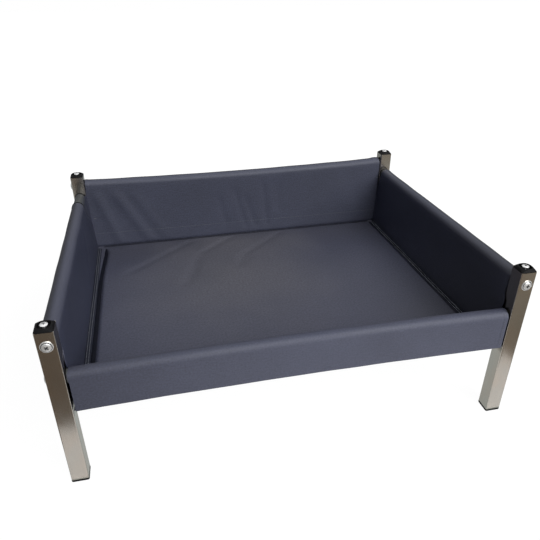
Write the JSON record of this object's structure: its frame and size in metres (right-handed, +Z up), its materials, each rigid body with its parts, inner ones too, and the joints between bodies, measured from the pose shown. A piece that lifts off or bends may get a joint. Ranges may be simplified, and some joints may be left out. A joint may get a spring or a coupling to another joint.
{
  "type": "raised dog cot",
  "caption": "Raised dog cot: a cloth sling with a low front, high back and high sides, hung by sleeves on round rails that are bolted between square steel legs.",
  "frame": {"origin": "on the ground under the middle of the cot", "axes": "+X along the length to the right, +Y from the low front to the high back, +Z up"},
  "size_m": [0.7914, 0.6364, 0.3107],
  "materials": {
    "leg_steel": "stainless, brushed along the tube",
    "black_plastic": "moulded, satin",
    "plated_fastener": "bright plated",
    "grey_rail": "powder coated, satin",
    "insert_alloy": "turned",
    "sling_cloth": "coated plain weave, slate blue",
    "seam_tape": "bound seam, slate blue"
  },
  "bodies": {
    "root": {"front_left_leg": "leg_steel", "front_right_leg": "leg_steel", "rear_left_leg": "leg_steel", "rear_right_leg": "leg_steel", "front_left_cap": "black_plastic", "front_right_cap": "black_plastic", "rear_left_cap": "black_plastic", "rear_right_cap": "black_plastic", "front_left_foot": "black_plastic", "front_right_foot": "black_plastic", "rear_left_foot": "black_plastic", "rear_right_foot": "black_plastic", "cap_screws": "plated_fastener", "cap_nuts": "plated_fastener", "front_rail": "grey_rail", "back_rail": "grey_rail", "left_rail": "grey_rail", "right_rail": "grey_rail", "front_rail_inserts": "insert_alloy", "back_rail_inserts": "insert_alloy", "left_rail_inserts": "insert_alloy", "right_rail_inserts": "insert_alloy", "front_rail_bolts": "plated_fastener", "back_rail_bolts": "plated_fastener", "left_rail_bolts": "plated_fastener", "right_rail_bolts": "plated_fastener", "floor_panel": "sling_cloth", "front_wall": "sling_cloth", "back_wall": "sling_cloth", "left_wall": "sling_cloth", "right_wall": "sling_cloth", "left_seam_tape": "seam_tape", "right_seam_tape": "seam_tape"}
  },
  "joints": []
}
